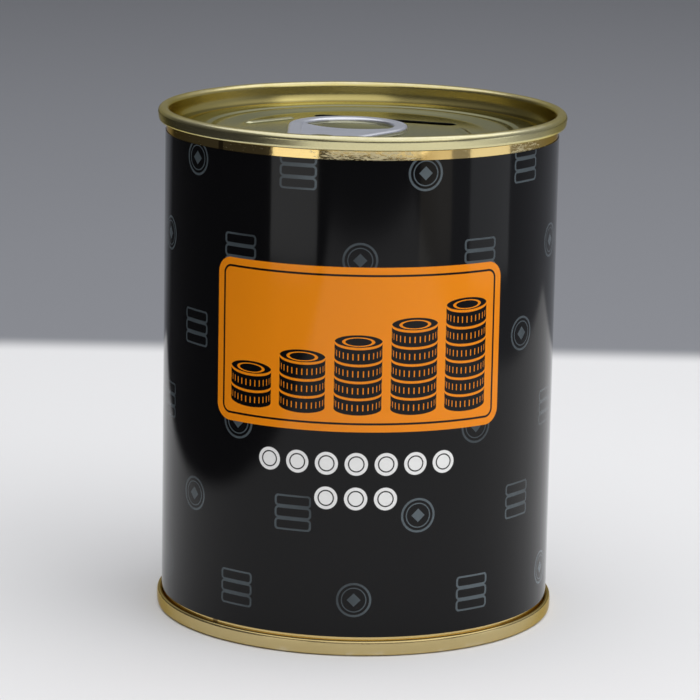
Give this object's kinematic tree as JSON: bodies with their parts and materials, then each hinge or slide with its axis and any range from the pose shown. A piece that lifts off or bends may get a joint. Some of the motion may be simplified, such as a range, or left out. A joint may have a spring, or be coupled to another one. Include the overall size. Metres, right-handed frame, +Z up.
{
  "type": "coin bank can",
  "caption": "Tin can coin bank: rolled and seamed body with a wrapped label, countersunk bottom, and a tear-off lid with a coin slot and a ring-pull tab.",
  "frame": {"origin": "centre of the ring on which the can stands", "axes": "+Z up along the can's axis, -Y towards the front of the label"},
  "size_m": [0.0761, 0.0762, 0.095],
  "materials": {
    "gold_tinplate": "gold lacquered tinplate, glossy",
    "pale_gold_tinplate": "pale gold lacquered tinplate, satin gloss",
    "bright_tinplate": "bright tinplate",
    "printed_label": "glossy printed film",
    "sealing_compound": "matte lining compound"
  },
  "bodies": {
    "can": {"can_body": "gold_tinplate", "label_wrap": "printed_label", "bottom_end": "gold_tinplate", "bottom_seal": "sealing_compound", "lid_rim": "gold_tinplate", "lid_seal": "sealing_compound"},
    "panel": {"tear_panel": "pale_gold_tinplate", "tab_tongue": "bright_tinplate"},
    "tab": {"pull_tab": "bright_tinplate"}
  },
  "joints": [
    {"name": "panel_peel", "type": "hinge", "parent": "can", "child": "panel", "pos_m": [0.01033, 0.03001, 0.0915], "axis": [-0.9455, 0.3256, 0], "range_deg": [0, 95]},
    {"name": "tab_lift", "type": "hinge", "parent": "panel", "child": "tab", "pos_m": [-0.00989, -0.02873, 0.0926], "axis": [0.9455, -0.3256, 0], "range_deg": [0, 100]}
  ]
}
